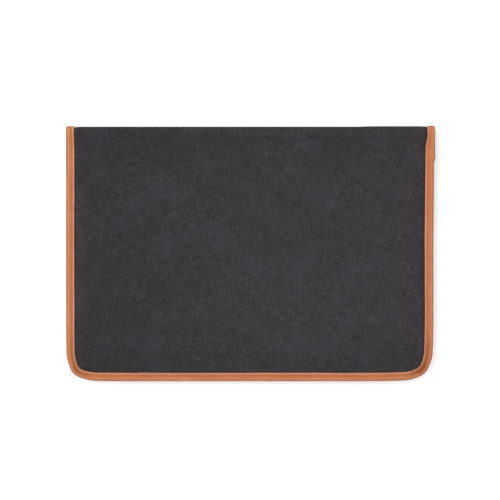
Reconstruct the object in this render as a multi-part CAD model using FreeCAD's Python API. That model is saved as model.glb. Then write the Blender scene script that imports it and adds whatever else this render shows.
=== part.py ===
import FreeCAD, Part
import math
import os

# A padded envelope sleeve for a slim notebook computer. It lies on its front, with the flap
# folded round underneath. X runs across the sleeve, +Y points at the top fold, +Z is up.
# The origin is the middle of the sleeve's plan, on the surface that it lies on. Millimetres.

V = FreeCAD.Vector

# Plan
WIDTH = 345.0
HEIGHT = 239.0
CORNER_R = 27.0
BINDING_W = 8.2          # leather that shows on each face
MOUTH_DROP = 31.0        # top fold to the front panel's free edge
FLAP_DEPTH = 98.0        # top fold to the flap's lower edge
FLAP_SETBACK = 0.5       # flap's side edges inside the body's

# Thickness of each ply
CANVAS = 0.7
FOAM = 1.8
LINING = 0.4
PADDING = 1.2
LEATHER = 0.9
NOTEBOOK_SPACE = 11.6
FLAP_GAP = 0.4           # air between the flap and the front panel

# Seams
SEAM_Z = 11.5            # plane in which the back and front panels meet
STITCH_INSET = 6.0       # row of stitches from the outer edge
THREAD_W = 0.6
THREAD_SUNK = 0.3
MOUTH_STITCH_DROP = 3.0

# Shape of the padded edges
CROWN_INSET = 20.0       # inside of a panel is at full depth this far from the side edge
BOTTOM_PINCH = 0.57      # the slope is this much shorter at the bottom seam
SHOULDER_RISE = 0.6      # share of the depth reached at the shoulder
SMALLEST_R = 6.0

# Hidden closure
MAGNET_R = 8.0
MAGNET_T = 1.2
MAGNET_HOLE_R = 8.2
MAGNET_X = 95.0
MAGNET_UP = 22.0         # magnets' centres above the flap's lower edge

# Heights, from the surface up
FLAP_CANVAS_Z = LEATHER
FLAP_PADDING_Z = FLAP_CANVAS_Z + CANVAS
FLAP_LINING_Z = FLAP_PADDING_Z + PADDING
FLAP_INSIDE_Z = FLAP_LINING_Z + LINING
FLAP_TOP_Z = FLAP_INSIDE_Z + LEATHER
FRONT_Z = FLAP_TOP_Z + FLAP_GAP
FRONT_INSIDE_Z = FRONT_Z + CANVAS + FOAM + LINING
BACK_INSIDE_Z = FRONT_INSIDE_Z + NOTEBOOK_SPACE
BACK_Z = BACK_INSIDE_Z + LINING + FOAM + CANVAS
SEAM_PLY = CANVAS + LINING

# Places along Y
TOP_Y = HEIGHT / 2
MOUTH_Y = TOP_Y - MOUTH_DROP
FLAP_END_Y = TOP_Y - FLAP_DEPTH
ROLL_R = (BACK_Z - FLAP_CANVAS_Z) / 2
ROLL_Y = TOP_Y - ROLL_R
TURN_Y = ROLL_Y - 0.5    # plane in which the flat plies end and the fold begins
BACK_FOAM_END_Y = TURN_Y - 4.5

# Each face of a panel: ply at the seam, then insets of the slope's foot, shoulder and crown
OUTER_FACE = (SEAM_PLY, 8.4, 11.4, CROWN_INSET - 1.8)
FOAM_OUTER_FACE = (LINING, 8.9, 12.0, CROWN_INSET - 1.4)
FOAM_INNER_FACE = (LINING, 9.7, 13.4, CROWN_INSET - 0.2)
INSIDE_FACE = (0.0, 9.9, 13.6, CROWN_INSET)


def closed_wire(points, tips):
    """Wire through the points in turn. tips gives, by index, a point on an arc to the next point."""
    edges = []
    for index, start in enumerate(points):
        end = points[(index + 1) % len(points)]
        if index in tips:
            edges.append(Part.Arc(start, tips[index], end).toShape())
        else:
            edges.append(Part.LineSegment(start, end).toShape())
    return Part.Wire(edges)


def u_outline(half_width, low_y, high_y, radius, z):
    """Straight sides, a straight top edge and two rounded lower corners."""
    bend = radius * (1 - math.sqrt(0.5))
    points = [
        V(-half_width, high_y, z),
        V(-half_width, low_y + radius, z),
        V(-half_width + radius, low_y, z),
        V(half_width - radius, low_y, z),
        V(half_width, low_y + radius, z),
        V(half_width, high_y, z),
    ]
    tips = {
        1: V(-half_width + bend, low_y + bend, z),
        3: V(half_width - bend, low_y + bend, z),
    }
    return closed_wire(points, tips)


def rounded_outline(half_width, low_y, high_y, radius, z):
    """A rectangle with four rounded corners."""
    bend = radius * (1 - math.sqrt(0.5))
    points = [
        V(-half_width, high_y - radius, z),
        V(-half_width, low_y + radius, z),
        V(-half_width + radius, low_y, z),
        V(half_width - radius, low_y, z),
        V(half_width, low_y + radius, z),
        V(half_width, high_y - radius, z),
        V(half_width - radius, high_y, z),
        V(-half_width + radius, high_y, z),
    ]
    tips = {
        1: V(-half_width + bend, low_y + bend, z),
        3: V(half_width - bend, low_y + bend, z),
        5: V(half_width - bend, high_y - bend, z),
        7: V(-half_width + bend, high_y - bend, z),
    }
    return closed_wire(points, tips)


def bottom_inset(inset):
    """Inset at the bottom seam that goes with an inset at the side seams."""
    if inset <= BINDING_W:
        return inset
    return BINDING_W + BOTTOM_PINCH * (inset - BINDING_W)


def body_outline(inset, high_y, z):
    radius = max(CORNER_R - inset, SMALLEST_R)
    return u_outline(WIDTH / 2 - inset, -HEIGHT / 2 + bottom_inset(inset), high_y, radius, z)


def flap_outline(inset, z):
    half_width = WIDTH / 2 - FLAP_SETBACK - inset
    return u_outline(half_width, FLAP_END_Y + inset, TURN_Y, CORNER_R - inset, z)


def slab(wire, thickness):
    return Part.Face(wire).extrude(V(0, 0, thickness))


def box(x_low, x_high, y_low, y_high, z_low, z_high):
    return Part.makeBox(x_high - x_low, y_high - y_low, z_high - z_low, V(x_low, y_low, z_low))


def half_body(face, depth, side, high_y):
    """Everything between the seam plane and one face of a panel; side is 1 for the back, -1 for the front."""
    ply, foot, shoulder, crown = face
    levels = [
        (foot, 0.0),
        (foot, ply),
        (shoulder, ply + SHOULDER_RISE * (depth - ply)),
        (crown, depth),
    ]
    if ply == 0:
        levels.pop(0)
    wires = [body_outline(inset, high_y, SEAM_Z + side * rise) for inset, rise in levels]
    padded = Part.makeLoft(wires, True, True)
    if ply == 0:
        return padded
    flange = slab(body_outline(LEATHER, high_y, SEAM_Z), side * ply)
    return flange.fuse(padded).removeSplitter()


def rise_at(face, depth, inset):
    """Height of a back panel's face above the seam plane, at an inset from the side edge."""
    ply, foot, shoulder, crown = face
    shoulder_rise = ply + SHOULDER_RISE * (depth - ply)
    if inset <= foot:
        return ply
    if inset <= shoulder:
        return ply + (shoulder_rise - ply) * (inset - foot) / (shoulder - foot)
    if inset <= crown:
        return shoulder_rise + (depth - shoulder_rise) * (inset - shoulder) / (crown - shoulder)
    return depth


def belly(face, z, end_y):
    """Lower stretch of a front panel's face, which hangs down to the surface below the flap's edge."""
    drop = FRONT_Z
    slope = 4.5
    overlap = 0.3
    inset = face[3] + 0.6
    low_y = -HEIGHT / 2 + bottom_inset(inset)
    wires = []
    for level, spread in ((z + overlap, 0.0), (z, 0.0), (z - drop, slope)):
        half_width = WIDTH / 2 - inset - spread
        low = low_y + BOTTOM_PINCH * spread
        wires.append(rounded_outline(half_width, low, end_y - 2 * spread, SMALLEST_R, level))
    return Part.makeLoft(wires, True, True)


def front_half(face, z, high_y, end_y):
    upper = half_body(face, SEAM_Z - z, -1, high_y)
    return upper.fuse(belly(face, z, end_y)).removeSplitter()


def discs(radius, z, thickness):
    """The two discs of the closure that lie in one layer."""
    y = FLAP_END_Y + MAGNET_UP
    return [Part.makeCylinder(radius, thickness, V(x, y, z)) for x in (-MAGNET_X, MAGNET_X)]


def without(solid, tools):
    for tool in tools:
        solid = solid.cut(tool)
    return solid


def roll_section(x, centre_y, outside, inside):
    """Section of a ply that turns round the top edge; outside and inside are (top z, bottom z) of its faces."""
    points = []
    tips = {}
    top, bottom = outside
    radius = (top - bottom) / 2
    points += [V(x, TURN_Y, top), V(x, centre_y, top), V(x, centre_y, bottom), V(x, TURN_Y, bottom)]
    tips[1] = V(x, centre_y + radius, bottom + radius)
    top, bottom = inside
    radius = (top - bottom) / 2
    points += [V(x, TURN_Y, bottom), V(x, centre_y, bottom), V(x, centre_y, top), V(x, TURN_Y, top)]
    tips[5] = V(x, centre_y + radius, bottom + radius)
    return closed_wire(points, tips)


def roll_centre_y(inset):
    """The fold is rounder over the notebook space than at its bound ends."""
    top = SEAM_Z + rise_at(OUTER_FACE, BACK_Z - SEAM_Z, inset)
    cover = LEATHER if inset <= OUTER_FACE[1] else 0.0
    return TOP_Y - cover - (top - FLAP_CANVAS_Z) / 2


def rolled_ply(outer_face, outer_z, inner_face, inner_z, flap_outer_z, flap_inner_z):
    """One ply of the fold, from edge to edge, lofted across the insets where its height changes."""
    insets = (LEATHER,) + OUTER_FACE[1:] + (CROWN_INSET,)
    places = [(-WIDTH / 2 + inset, inset) for inset in insets]
    places += [(WIDTH / 2 - inset, inset) for inset in reversed(insets)]
    wires = []
    for x, inset in places:
        outside = (SEAM_Z + rise_at(outer_face, outer_z - SEAM_Z, inset), flap_outer_z)
        inside = (SEAM_Z + rise_at(inner_face, inner_z - SEAM_Z, inset), flap_inner_z)
        wires.append(roll_section(x, roll_centre_y(inset), outside, inside))
    return Part.makeLoft(wires, True, True)


def rolled_strip(side, inset_low, inset_high, outside, inside):
    """A strip of constant section round the fold's bound end; side is -1 for the left, 1 for the right."""
    x = side * (WIDTH / 2 - inset_high)
    wire = roll_section(x, roll_centre_y(0), outside, inside)
    return Part.Face(wire).extrude(V(side * (inset_high - inset_low), 0, 0))


def u_strip(outline, inset_low, inset_high, z_low, z_high):
    """Strip along both sides and the bottom of an outline."""
    outer = slab(outline(inset_low, z_low), z_high - z_low)
    return outer.cut(slab(outline(inset_high, z_low), z_high - z_low))


def side_strip(side, inset_low, inset_high, z_low, z_high):
    """Strip along one side edge of the back panel, between the mouth and the fold."""
    ends = sorted((side * (WIDTH / 2 - inset_high), side * (WIDTH / 2 - inset_low)))
    return box(ends[0], ends[1], MOUTH_Y, TURN_Y, z_low, z_high)


def save(name, solids):
    shape = solids[0] if len(solids) == 1 else Part.makeCompound(solids)
    if not shape.isValid():
        raise ValueError(name + " is not a valid shape")
    shape.exportStep("parts/" + name + ".step")
    low, high = shape.BoundBox.ZMin, shape.BoundBox.ZMax
    print(f"{name:22s} {shape.Volume / 1000:8.2f} cm3   z {low:6.2f} to {high:6.2f}")


os.makedirs("parts", exist_ok=True)

# Back panel: canvas outside, foam, lining inside
back_outer = half_body(OUTER_FACE, BACK_Z - SEAM_Z, 1, TURN_Y)
back_foam_outer = half_body(FOAM_OUTER_FACE, BACK_Z - CANVAS - SEAM_Z, 1, TURN_Y)
back_foam_inner = half_body(FOAM_INNER_FACE, BACK_INSIDE_Z + LINING - SEAM_Z, 1, TURN_Y)
back_inside = half_body(INSIDE_FACE, BACK_INSIDE_Z - SEAM_Z, 1, TURN_Y)
beyond_foam = box(-WIDTH, WIDTH, BACK_FOAM_END_Y, HEIGHT, 0, 2 * BACK_Z)
save("back_canvas", [back_outer.cut(back_foam_outer)])
save("back_foam", [back_foam_outer.cut(back_foam_inner).cut(beyond_foam)])
save("back_lining", [back_foam_inner.cut(back_inside)])

# Front panel: the canvas is turned over the foam along the mouth
hem_y = MOUTH_Y - CANVAS
belly_y = FLAP_END_Y - 2.0
front_outer = front_half(OUTER_FACE, FRONT_Z, MOUTH_Y, belly_y)
front_foam_outer = front_half(FOAM_OUTER_FACE, FRONT_Z + CANVAS, hem_y, belly_y - CANVAS)
front_foam_inner = front_half(FOAM_INNER_FACE, FRONT_INSIDE_Z - LINING, hem_y, belly_y - CANVAS - FOAM)
belly_inside_y = belly_y - CANVAS - FOAM - LINING
front_inside = front_half(INSIDE_FACE, FRONT_INSIDE_Z, hem_y, belly_inside_y)
mouth_opening = front_half(INSIDE_FACE, FRONT_INSIDE_Z, MOUTH_Y, belly_inside_y)
mouth_thread_y = MOUTH_Y - MOUTH_STITCH_DROP
mouth_thread_x = WIDTH / 2 - CROWN_INSET
mouth_thread = box(
    -mouth_thread_x, mouth_thread_x,
    mouth_thread_y - THREAD_W / 2, mouth_thread_y + THREAD_W / 2,
    FRONT_Z, FRONT_Z + THREAD_SUNK,
)
front_magnets = discs(MAGNET_R, FRONT_Z + CANVAS, MAGNET_T)
front_magnet_holes = discs(MAGNET_HOLE_R, FRONT_Z + CANVAS, FOAM)
front_canvas = front_outer.cut(front_foam_outer).cut(mouth_opening).cut(mouth_thread)
save("front_canvas", [front_canvas])
save("front_foam", [without(front_foam_outer.cut(front_foam_inner), front_magnet_holes)])
save("front_lining", [front_foam_inner.cut(front_inside)])
save("mouth_thread", [mouth_thread])
save("front_magnets", front_magnets)


def mouth_high_outline(inset, z):
    return body_outline(inset, MOUTH_Y, z)


# Leather round the body's seam, with its two threads sunk flush into its faces
seam_low = SEAM_Z - SEAM_PLY - LEATHER
seam_high = SEAM_Z + SEAM_PLY + LEATHER
stitch_low = STITCH_INSET - THREAD_W / 2
stitch_high = STITCH_INSET + THREAD_W / 2
needle_thread = u_strip(mouth_high_outline, stitch_low, stitch_high, seam_high - THREAD_SUNK, seam_high)
bobbin_thread = u_strip(mouth_high_outline, stitch_low, stitch_high, seam_low, seam_low + THREAD_SUNK)
body_binding = u_strip(mouth_high_outline, 0.0, BINDING_W, seam_low, seam_high)
seam_plies = slab(mouth_high_outline(LEATHER, SEAM_Z - SEAM_PLY), 2 * SEAM_PLY)
save("body_binding", [without(body_binding, [seam_plies, needle_thread, bobbin_thread])])
save("body_needle_thread", [needle_thread])
save("body_bobbin_thread", [bobbin_thread])

# Leather on the back panel's free edges, from the mouth up to the fold, and round the fold's ends
ply_faces = (SEAM_Z + SEAM_PLY, FLAP_CANVAS_Z), (SEAM_Z, FLAP_INSIDE_Z)
leather_faces = (seam_high, 0.0), (SEAM_Z - LEATHER, FLAP_TOP_Z)
(leather_top, leather_bottom), (leather_top_inner, leather_bottom_inner) = leather_faces
outer_thread_faces = (leather_top, leather_bottom), (leather_top - THREAD_SUNK, leather_bottom + THREAD_SUNK)
inner_thread_faces = (
    (leather_top_inner + THREAD_SUNK, leather_bottom_inner - THREAD_SUNK),
    (leather_top_inner, leather_bottom_inner),
)
edge_threads = []
fold_threads = []
for name, side in (("left", -1), ("right", 1)):
    outer = side_strip(side, stitch_low, stitch_high, leather_top - THREAD_SUNK, leather_top)
    inner = side_strip(side, stitch_low, stitch_high, leather_top_inner, leather_top_inner + THREAD_SUNK)
    edge_threads += [outer, inner]
    strip = side_strip(side, 0.0, BINDING_W, leather_top_inner, leather_top)
    plies = side_strip(side, LEATHER, BINDING_W, SEAM_Z, SEAM_Z + SEAM_PLY)
    save("edge_binding_" + name, [without(strip, [plies, outer, inner])])

    outer = rolled_strip(side, stitch_low, stitch_high, *outer_thread_faces)
    inner = rolled_strip(side, stitch_low, stitch_high, *inner_thread_faces)
    fold_threads += [outer, inner]
    strip = rolled_strip(side, 0.0, BINDING_W, *leather_faces)
    plies = rolled_strip(side, LEATHER, BINDING_W, *ply_faces)
    save("fold_binding_" + name, [without(strip, [plies, outer, inner])])
save("edge_threads", edge_threads)
save("fold_threads", fold_threads)

# Canvas and lining round the fold; the foam stops short of it, so that it bends
fold_canvas = rolled_ply(
    OUTER_FACE, BACK_Z, FOAM_OUTER_FACE, BACK_Z - CANVAS, FLAP_CANVAS_Z, FLAP_PADDING_Z
)
fold_lining = rolled_ply(
    FOAM_INNER_FACE, BACK_INSIDE_Z + LINING, INSIDE_FACE, BACK_INSIDE_Z, FLAP_LINING_Z, FLAP_INSIDE_Z
)
save("fold_canvas", [fold_canvas])
save("fold_lining", [fold_lining])

# Flap
flap_magnets = discs(MAGNET_R, FLAP_PADDING_Z, MAGNET_T)
flap_magnet_holes = discs(MAGNET_HOLE_R, FLAP_PADDING_Z, PADDING)
save("flap_canvas", [slab(flap_outline(LEATHER, FLAP_CANVAS_Z), CANVAS)])
save("flap_padding", [without(slab(flap_outline(LEATHER, FLAP_PADDING_Z), PADDING), flap_magnet_holes)])
save("flap_lining", [slab(flap_outline(LEATHER, FLAP_LINING_Z), LINING)])
save("flap_magnets", flap_magnets)
flap_needle_thread = u_strip(flap_outline, stitch_low, stitch_high, 0.0, THREAD_SUNK)
flap_bobbin_thread = u_strip(flap_outline, stitch_low, stitch_high, FLAP_TOP_Z - THREAD_SUNK, FLAP_TOP_Z)
flap_binding = u_strip(flap_outline, 0.0, BINDING_W, 0.0, FLAP_TOP_Z)
flap_plies = slab(flap_outline(LEATHER, FLAP_CANVAS_Z), FLAP_INSIDE_Z - FLAP_CANVAS_Z)
save("flap_binding", [without(flap_binding, [flap_plies, flap_needle_thread, flap_bobbin_thread])])
save("flap_needle_thread", [flap_needle_thread])
save("flap_bobbin_thread", [flap_bobbin_thread])

# Two axes of the fold: a quarter turn about each lays the flap out level with the back panel
axis_y = ROLL_Y + math.pi / 4 * ROLL_R
axis_rise = math.pi / 4 * ROLL_R
roll_z = FLAP_CANVAS_Z + ROLL_R
print(f"fold axes at y {axis_y:.3f}, z {roll_z + axis_rise:.3f} and {roll_z - axis_rise:.3f}")
print(f"notebook space z {FRONT_INSIDE_Z:.2f} to {BACK_INSIDE_Z:.2f}, mouth at y {MOUTH_Y:.2f}")
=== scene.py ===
import math

import bmesh
import bpy
import numpy as np
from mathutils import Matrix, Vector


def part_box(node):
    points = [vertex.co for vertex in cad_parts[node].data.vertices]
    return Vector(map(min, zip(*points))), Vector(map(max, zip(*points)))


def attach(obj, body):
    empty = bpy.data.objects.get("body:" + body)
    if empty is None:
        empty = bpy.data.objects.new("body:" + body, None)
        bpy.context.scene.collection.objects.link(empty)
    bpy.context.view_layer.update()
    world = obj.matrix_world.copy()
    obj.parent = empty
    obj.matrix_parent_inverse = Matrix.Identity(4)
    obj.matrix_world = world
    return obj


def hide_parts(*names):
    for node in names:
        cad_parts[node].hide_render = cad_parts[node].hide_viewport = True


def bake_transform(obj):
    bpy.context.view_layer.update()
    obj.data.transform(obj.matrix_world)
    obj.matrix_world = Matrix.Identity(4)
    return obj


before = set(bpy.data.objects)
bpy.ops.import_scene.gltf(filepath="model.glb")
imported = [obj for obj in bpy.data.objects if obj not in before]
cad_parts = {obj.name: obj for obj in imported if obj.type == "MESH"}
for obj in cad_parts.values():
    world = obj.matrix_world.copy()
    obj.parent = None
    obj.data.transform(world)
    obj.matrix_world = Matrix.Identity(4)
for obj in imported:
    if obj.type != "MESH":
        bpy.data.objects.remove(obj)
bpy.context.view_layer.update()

# The looks of a padded canvas sleeve with leather-bound edges. Metres, in the frame's axes:
# X across the sleeve, +Y towards the top fold, +Z up. It lies on its front, flap underneath.

MM = 0.001

# -------- places taken from the frame
binding_low, binding_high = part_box("body_binding")
edge_low, edge_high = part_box("edge_binding_left")
canvas_low, canvas_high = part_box("back_canvas")
front_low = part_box("front_canvas")[0]
flap_low, flap_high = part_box("flap_binding")
flap_canvas_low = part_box("flap_canvas")[0]
flap_lining_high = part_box("flap_lining")[1]
front_magnet_low, front_magnet_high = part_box("front_magnets")

HALF_W = binding_high.x
BOTTOM_Y = binding_low.y
MOUTH_Y = binding_high.y
TURN_Y = edge_high.y
TIP_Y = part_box("fold_canvas")[1].y
SEAM_Z = canvas_low.z
BACK_Z = canvas_high.z
FRONT_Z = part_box("mouth_thread")[0].z
BINDING_HALF = (binding_high.z - binding_low.z) / 2
EDGE_THICK = edge_high.z - edge_low.z
EDGE_TOP_Z = edge_high.z
LEATHER = HALF_W - canvas_high.x
FLAP_HALF_W = flap_high.x
FLAP_LOW_Y = flap_low.y
FLAP_THICK = flap_high.z - flap_low.z
FLAP_CANVAS_Z = flap_canvas_low.z
FLAP_PLIES = flap_lining_high.z - flap_canvas_low.z

# -------- sizes of the soft parts
CORNER_R = 27 * MM
CANVAS = 0.7 * MM
LINING = 0.4 * MM
FOAM = 1.8 * MM
SEAM_PLIES = CANVAS + LINING
BACK_SLOPE = 12 * MM  # width of the padded shoulder beside a side seam
FRONT_SLOPE = 15 * MM
PINCH = 0.57  # the shoulder is this much narrower at the bottom seam
FLAP_PUFF = 0.6 * MM
TIP_LINING = 2.2 * MM  # from the canvas in to the lining at the fold's tip
MAGNET_R = 8 * MM
MAGNET_X = front_magnet_high.x - MAGNET_R
MAGNET_Y = (front_magnet_low.y + front_magnet_high.y) / 2
POCKET = 1.3 * MM  # depth of the padding's pockets for the magnets
HAIR = 0.03 * MM  # air between padding and the plies beside it
BELLY_TOP_Y = FLAP_LOW_Y - 0.8 * MM
BELLY_RUN = 13 * MM
HEM = 12 * MM  # canvas turned in along the mouth
HEM_TURN = 2 * MM  # the part of it taken up by the turn
HEM_R = 0.55 * MM  # of the turn at the sides
HEM_SWELL = 0.92 * MM  # and so much more in the middle
GRID = 2.6 * MM

# Leather strip: the width that shows, and its row of stitches, both from the outer edge
LEFT_W, RIGHT_W, BOTTOM_W = 8.1 * MM, 8.55 * MM, 8.2 * MM
LEFT_ROW, RIGHT_ROW, BOTTOM_ROW = 5.7 * MM, 5.5 * MM, 5.2 * MM
FLAP_W = 8.2 * MM
FLAP_ROW = 5.2 * MM
FLAP_EASE = 0.22 * MM  # the flap's strip is pressed this much thinner on each face
LIP_GAP = 0.2 * MM  # from the strip's inner lip to the foot of the padding
PITCH = 3.5 * MM  # stitch length
STATION = PITCH / 4  # step along a seam
NOSE = 1.7 * MM  # roundness of the folded edge
TIP_NOSE = 0.7 * MM  # and where it turns over the fold
THREAD_R = 0.3 * MM

# Above the mouth the strip stands proud of the body's, more on the right than on the left
PROUD = {-1: 0.1 * MM, 1: 1.0 * MM}
TIP_FLARE = {-1: 0.35 * MM, 1: 0.3 * MM}
UPPER_LIP = {-1: HALF_W - LEFT_W, 1: HALF_W - RIGHT_W}
LIP_LEAN = {-1: 0.5 * MM, 1: 0.8 * MM}
LIP_FLARE = {-1: 0.25 * MM, 1: 1.6 * MM}
UPPER_ROW = 5.4 * MM
UPPER_OVERLAP = 2.0 * MM  # upper strip laid over the end of the body's strip

# Hand work: the outline stands off the drawn one a little, in at the ends of the lower corners and
# out at their middles, out beside the mouth on the right, and up at the fold's right end
CORNER_DIP = {-1: 0.6 * MM, 1: 1.4 * MM}
CORNER_BULGE = {-1: 1.9 * MM, 1: 1.45 * MM}
DIP_REACH, BULGE_REACH = 26 * MM, 8.5 * MM
WORKED, UNWORKED = 10 * MM, 24 * MM  # from the edge: moved in full up to here, not from there
RIGHT_LEAN = 0.55 * MM
TIP_RISE = 0.45 * MM

# Cloth simulation. A negative shrink_min is the share by which the cloth is cut too large
CLOTH = {
    "vertex_group_mass": "held", "quality": 6, "mass": 0.0006, "air_damping": 3, "use_pressure": True,
    "tension_stiffness": 12, "compression_stiffness": 12, "shear_stiffness": 4,
    "bending_stiffness": 0.35, "shrink_min": -0.0025,
}
CLOTH_FRAMES = 20
CLOTH_PUSH = 0.25  # pressure of the padding
HELD_DEPTH = 0.35  # share of the full depth below which the cloth is held
SMOOTHING, SWELL_SMOOTHING = 8, 80  # passes over the movement, and to part the slow swell

# Rings of a panel: flange under the leather, then the shoulder up to the flat middle
FLANGE = (-5.5 * MM, -2.0 * MM, -0.2 * MM)
SHOULDER_STEPS = 15
ROLL_SHARES = tuple(step / 14 for step in range(1, 14)) + (0.992, 1.0)


def smooth(t):
    t = np.clip(t, 0.0, 1.0)
    return t * t * (3 - 2 * t)


# ======== materials
tree = None  # node tree of the material begun last: node() adds to it


def begin(name):
    global tree
    made = bpy.data.materials.new(name)
    made.use_nodes = True
    tree = made.node_tree
    return made


def feed(socket, value):
    """Link a socket to an input, or set the input to a number, a vector or a colour."""
    if isinstance(value, bpy.types.NodeSocket):
        tree.links.new(value, socket)
    elif socket.type == "RGBA":
        socket.default_value = (*value, 1.0)
    else:
        socket.default_value = value


def node(kind, settings=None, output=0, **inputs):
    """A node's output. Its inputs are given by name, with _ for a space, or by number, as in _0."""
    made = tree.nodes.new(kind)
    for key, value in (settings or {}).items():
        setattr(made, key, value)
    for key, value in inputs.items():
        feed(made.inputs[int(key[1:])] if key[0] == "_" else made.inputs[key.replace("_", " ")], value)
    return made.outputs[output]


def calc(operation, first, second=0.0, third=0.0):
    return node("ShaderNodeMath", {"operation": operation}, _0=first, _1=second, _2=third)


def times(first, second):
    return calc("MULTIPLY", first, second)


def remap(value, from_low, from_high, to_low=0.0, to_high=1.0):
    return node("ShaderNodeMapRange", {"interpolation_type": "SMOOTHSTEP"}, Value=value,
                From_Min=from_low, From_Max=from_high, To_Min=to_low, To_Max=to_high)


def mix(share, first, second, blend="MIX"):
    settings = {"data_type": "RGBA", "blend_type": blend}
    return node("ShaderNodeMix", settings, 2, _0=share, _6=first, _7=second)


def dimmed(tone, shade):
    """A colour multiplied by a shade."""
    return mix(1.0, tone, node("ShaderNodeCombineXYZ", X=shade, Y=shade, Z=shade), "MULTIPLY")


def ramp(value, *stops):
    out = node("ShaderNodeValToRGB", Fac=value)
    elements = out.node.color_ramp.elements
    while len(elements) < len(stops):
        elements.new(0.5)
    for element, (place, colour) in zip(elements, stops):
        element.position = place
        element.color = (*colour, 1.0)
    return out


def vector_mark(name):
    return node("ShaderNodeAttribute", {"attribute_name": name}, "Vector")


def mark(name, share=1.0):
    """A piece's named attribute, as a share."""
    fac = node("ShaderNodeAttribute", {"attribute_name": name}, "Fac")
    return fac if share == 1.0 else times(fac, share)


def components(vector):
    return node("ShaderNodeSeparateXYZ", Vector=vector).node.outputs


def stretched(vector, *scale):
    return node("ShaderNodeVectorMath", {"operation": "MULTIPLY"}, _0=vector, _1=scale)


def noise(vector, scale, detail=2.0, rough=0.5):
    return node("ShaderNodeTexNoise", Vector=vector, Scale=scale, Detail=detail, Roughness=rough)


def bump(height, distance, under=None):
    out = node("ShaderNodeBump", Strength=1.0, Distance=distance, Height=height)
    if under is not None:
        tree.links.new(under, out.node.inputs["Normal"])
    return out


def dressed(made, tone, rough, specular, normal=None, **more):
    """The material, its shader's inputs filled in."""
    shader = tree.nodes["Principled BSDF"]
    given = {"Base Color": tone, "Roughness": rough, "Specular IOR Level": specular, "Normal": normal}
    given.update((key.replace("_", " "), value) for key, value in more.items())
    for name, value in given.items():
        if value is not None:
            feed(shader.inputs[name], value)
    return made


def canvas_material():
    """Washed black canvas: plain weave, thick and thin threads, mottled fading, faint creases, painted
    shade towards the left and the ends, and a painted shadow line beside the leather.
    """
    made = begin("canvas")
    place = vector_mark("cloth")
    split = components(stretched(place, 1000.0, 1000.0, 0.0))  # in millimetres
    pitch = 0.62  # of the threads
    across = calc("DIVIDE", split[0], pitch)
    along = calc("DIVIDE", split[1], pitch)

    def thread(count, other, seed):
        """Shade of each thread, which changes slowly along it."""
        number = calc("FLOOR", calc("ADD", count, 0.5))
        spot = node("ShaderNodeCombineXYZ", X=times(number, 3.7), Y=times(other, 0.11), Z=seed)
        return noise(spot, 1.0, 2.0, 0.6)

    warp_shade = thread(across, along, 2.0)
    weft_shade = thread(along, across, 9.0)
    turn_u = calc("COSINE", times(across, math.pi))
    turn_v = calc("COSINE", times(along, math.pi))
    over = times(turn_u, turn_v)
    warp_top = times(times(turn_u, turn_u), calc("MULTIPLY_ADD", over, 0.5, 0.5))
    weft_top = times(times(turn_v, turn_v), calc("MULTIPLY_ADD", over, -0.5, 0.5))
    weave = calc("MAXIMUM", warp_top, weft_top)
    thread_shade = mix(remap(calc("SUBTRACT", warp_top, weft_top), -0.1, 0.1), weft_shade, warp_shade)

    tone = mix(remap(thread_shade, 0.54, 0.78), (0.0315, 0.0290, 0.0325), (0.082, 0.076, 0.082))
    tone = mix(remap(thread_shade, 0.44, 0.28), tone, (0.0190, 0.0174, 0.0196))
    long_weft = noise(stretched(place, 95.0, 1150.0, 1.0), 1.0, 2.0, 0.55)
    long_warp = noise(stretched(place, 1150.0, 95.0, 1.0), 1.0, 2.0, 0.55)
    streaks = calc("ADD", remap(long_weft, 0.30, 0.70), remap(long_warp, 0.30, 0.70))
    streaked = calc("MULTIPLY_ADD", streaks, 0.36, 0.66)
    tone = dimmed(tone, times(remap(weave, 0.0, 0.55, 0.66, 1.0), streaked))
    patch = noise(place, 30.0, 3.0, 0.6)
    tone = mix(remap(patch, 0.48, 0.68, 0.0, 0.20), tone, (0.050, 0.046, 0.056))
    cloud = noise(place, 7.0, 2.0, 0.5)
    tone = mix(remap(cloud, 0.35, 0.65, 0.14, 0.0), tone, (0.018, 0.0165, 0.018))
    contour = calc("ABSOLUTE", calc("SUBTRACT", noise(place, 17.0, 2.0, 0.4), 0.5))
    some = remap(noise(place, 23.0, 1.0), 0.56, 0.68)
    crease = times(remap(contour, 0.007, 0.0), some)
    tone = mix(times(crease, 0.16), tone, (0.085, 0.080, 0.084))
    wear_and_hole_shade = times(mark("rub"), remap(noise(place, 160.0, 3.0, 0.7), 0.45, 0.7))
    tone = mix(times(wear_and_hole_shade, 0.22), tone, (0.07, 0.066, 0.066))
    # Painted shade: the canvas darker towards the left side and towards the top and bottom ends
    painted_shade_across = remap(split[0], -175.0, 40.0, 0.92, 1.09)
    painted_shade_along = remap(calc("ABSOLUTE", split[1]), 60.0, 112.0, 1.03, 0.93)
    tone = dimmed(tone, times(painted_shade_across, painted_shade_along))
    # Painted shadow: a narrow dark brownish line at the foot of the shoulder, beside the leather
    tone = mix(mark("painted_seam_shadow", 0.95), tone, (0.055, 0.020, 0.011))
    uneven = bump(thread_shade, 0.16 * MM, bump(crease, 0.12 * MM))
    woven = bump(weave, 0.09 * MM, uneven)
    fuzz = bump(noise(place, 4200.0, 2.0, 0.6), 0.03 * MM, woven)
    return dressed(made, tone, remap(patch, 0.3, 0.7, 0.96, 0.84), 0.10, fuzz)


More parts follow.
